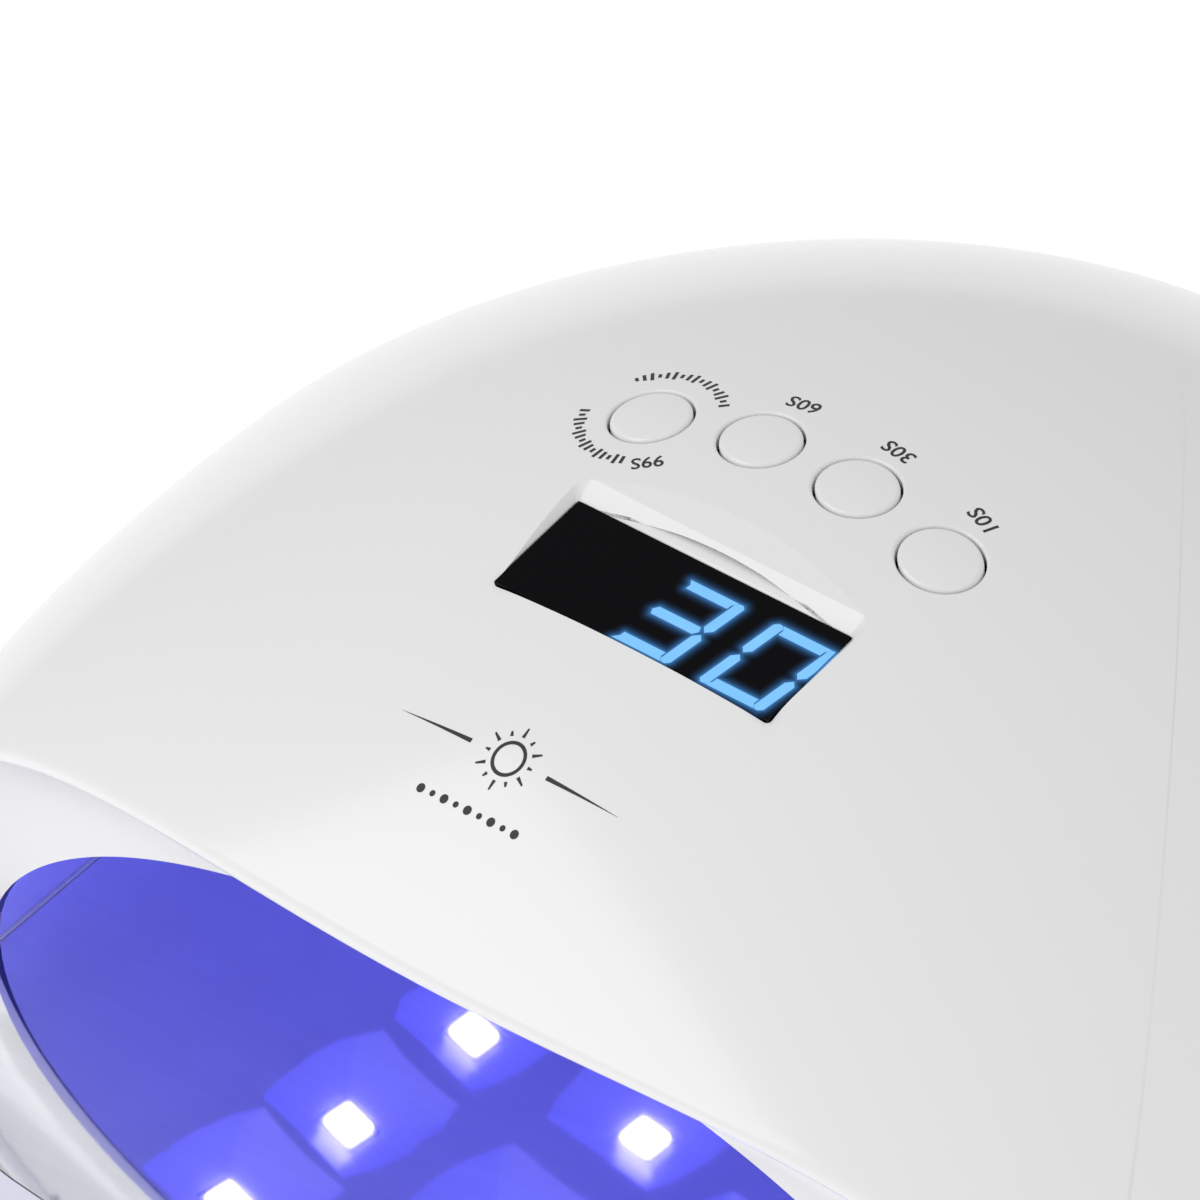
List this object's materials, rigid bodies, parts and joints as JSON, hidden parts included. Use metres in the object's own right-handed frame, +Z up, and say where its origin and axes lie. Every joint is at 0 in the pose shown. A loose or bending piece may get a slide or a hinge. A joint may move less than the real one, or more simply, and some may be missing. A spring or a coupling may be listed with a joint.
{
  "type": "uv curing lamp",
  "caption": "Domed tabletop curing lamp with an arched hand opening, a tilted display window with press buttons, and a removable mirror-lined tray.",
  "frame": {"origin": "on the table, under the centre of the bounding box", "axes": "+X to the right seen from the hand opening, +Y to the back, +Z up"},
  "size_m": [0.225, 0.2354, 0.0903],
  "materials": {
    "white_casing": "glossy white",
    "violet_liner": "glossy pale liner",
    "mirror_plate": "polished steel",
    "foot_rubber": "matt",
    "magnet_steel": "nickel plated",
    "screw_steel": "satin",
    "diode_strip": "white lacquer with lit violet diodes",
    "dark_window": "smoked glossy",
    "circuit_board": "green solder resist",
    "display_module": "black with lit numerals",
    "lead_sleeve": "matt sleeve",
    "black_plastic": "fine grain"
  },
  "bodies": {
    "base": {"base_tray": "white_casing", "mirror_plate": "mirror_plate", "rubber_foot_1": "foot_rubber", "rubber_foot_2": "foot_rubber", "rubber_foot_3": "foot_rubber", "rubber_foot_4": "foot_rubber", "catch_disc_1": "magnet_steel", "catch_disc_2": "magnet_steel", "catch_disc_3": "magnet_steel", "catch_disc_4": "magnet_steel"},
    "lamp": {"upper_shell": "white_casing", "mouth_collar": "white_casing", "reflector": "violet_liner", "bottom_frame": "white_casing", "led_strip_outer_left": "diode_strip", "led_strip_inner_left": "diode_strip", "led_strip_middle": "diode_strip", "led_strip_inner_right": "diode_strip", "led_strip_outer_right": "diode_strip", "frame_screw_1": "screw_steel", "frame_screw_2": "screw_steel", "frame_screw_3": "screw_steel", "frame_screw_4": "screw_steel", "frame_screw_5": "screw_steel", "frame_screw_6": "screw_steel", "magnet_1": "magnet_steel", "magnet_2": "magnet_steel", "magnet_3": "magnet_steel", "magnet_4": "magnet_steel", "dc_jack": "black_plastic", "vent_grille": "black_plastic", "sensor_emitter": "dark_window", "sensor_receiver": "dark_window", "display_lens": "dark_window", "display_box": "black_plastic", "display_module": "display_module", "control_board": "circuit_board", "buzzer": "black_plastic", "board_screw_1": "screw_steel", "board_screw_2": "screw_steel", "switch_body_1": "black_plastic", "switch_body_2": "black_plastic", "switch_body_3": "black_plastic", "switch_body_4": "black_plastic", "supply_lead": "lead_sleeve"},
    "button_1": {"button_cap_1": "white_casing", "switch_plunger_1": "black_plastic"},
    "button_2": {"button_cap_2": "white_casing", "switch_plunger_2": "black_plastic"},
    "button_3": {"button_cap_3": "white_casing", "switch_plunger_3": "black_plastic"},
    "button_4": {"button_cap_4": "white_casing", "switch_plunger_4": "black_plastic"}
  },
  "joints": [
    {"name": "lamp_lift", "type": "slide", "parent": "base", "child": "lamp", "axis": [0, 0, 1], "range_m": [0, 0.12]},
    {"name": "button_1_press", "type": "slide", "parent": "lamp", "child": "button_1", "axis": [0, 0.1564, -0.9877], "range_m": [0, 0.0006], "stiffness_N_per_m": 2000, "springref_m": -0.0003},
    {"name": "button_2_press", "type": "slide", "parent": "lamp", "child": "button_2", "axis": [0, 0.1564, -0.9877], "range_m": [0, 0.0006], "stiffness_N_per_m": 2000, "springref_m": -0.0003},
    {"name": "button_3_press", "type": "slide", "parent": "lamp", "child": "button_3", "axis": [0, 0.1564, -0.9877], "range_m": [0, 0.0006], "stiffness_N_per_m": 2000, "springref_m": -0.0003},
    {"name": "button_4_press", "type": "slide", "parent": "lamp", "child": "button_4", "axis": [0, 0.1564, -0.9877], "range_m": [0, 0.0006], "stiffness_N_per_m": 2000, "springref_m": -0.0003}
  ]
}
